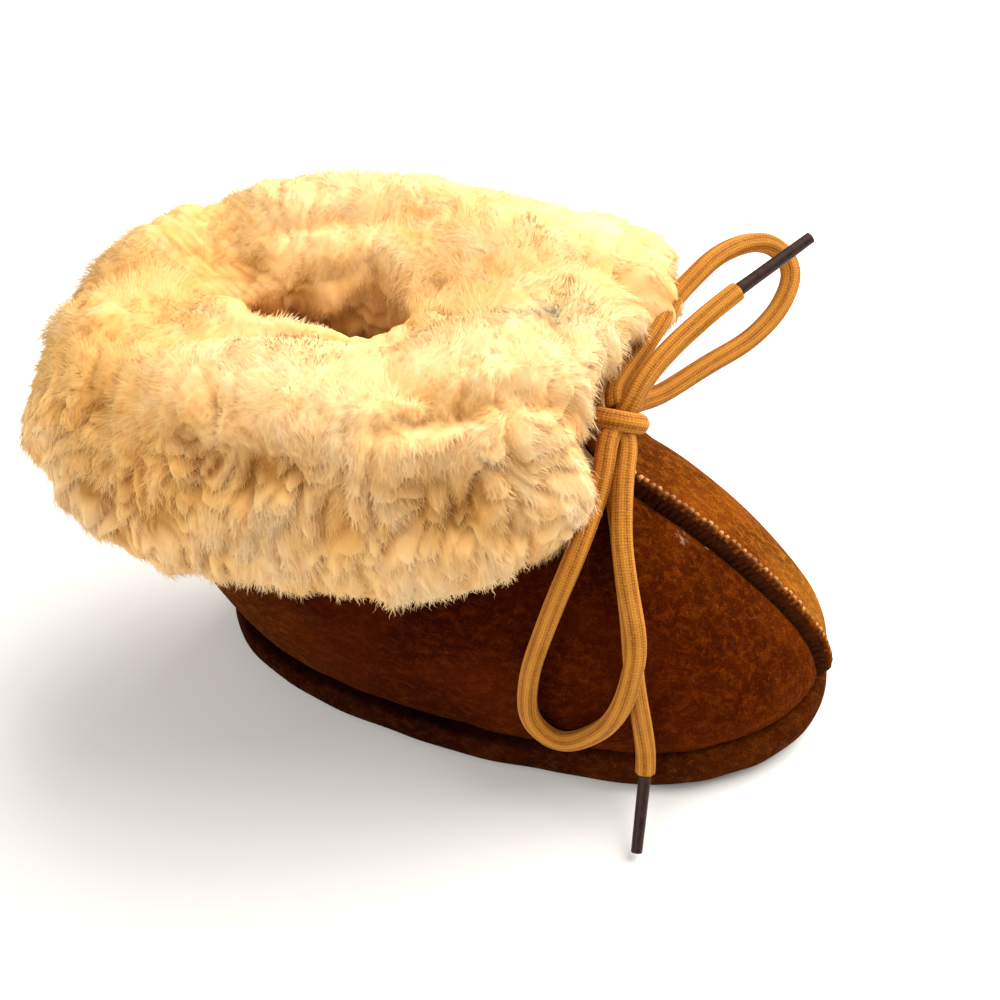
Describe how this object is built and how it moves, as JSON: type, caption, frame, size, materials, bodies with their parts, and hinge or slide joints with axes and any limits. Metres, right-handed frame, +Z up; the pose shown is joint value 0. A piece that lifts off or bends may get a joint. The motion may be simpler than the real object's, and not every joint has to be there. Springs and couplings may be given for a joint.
{
  "type": "sheepskin bootie",
  "caption": "Toddler's sheepskin bootie: hollow suede upper with raised centre seam, wrapped flat sole, deep fleece cuff turned down at the collar, and a lace tied in a bow.",
  "frame": {"origin": "on the floor under the middle of the sole's length, on the flat tread of the outsole", "axes": "+X to the toe, +Y to the wearer's left, +Z up"},
  "size_m": [0.1919, 0.1207, 0.107],
  "materials": {
    "sole": "soft suede sole, napped",
    "rand_suede": "chestnut suede band, napped and matt",
    "suede": "chestnut suede, napped and matt",
    "fleece": "long cream sheep's fleece",
    "lace": "round braided tan cord",
    "aglet": "dark brown shrunk plastic tip"
  },
  "bodies": {
    "root": {"outsole": "sole", "rand": "rand_suede", "insole": "fleece", "upper": "suede", "cuff": "fleece", "lace_bar": "lace", "lace_knot": "lace", "lace_loop_near": "lace", "lace_loop_far": "lace", "lace_end_near": "lace", "lace_end_far": "lace", "aglet_near": "aglet", "aglet_far": "aglet"}
  },
  "joints": []
}
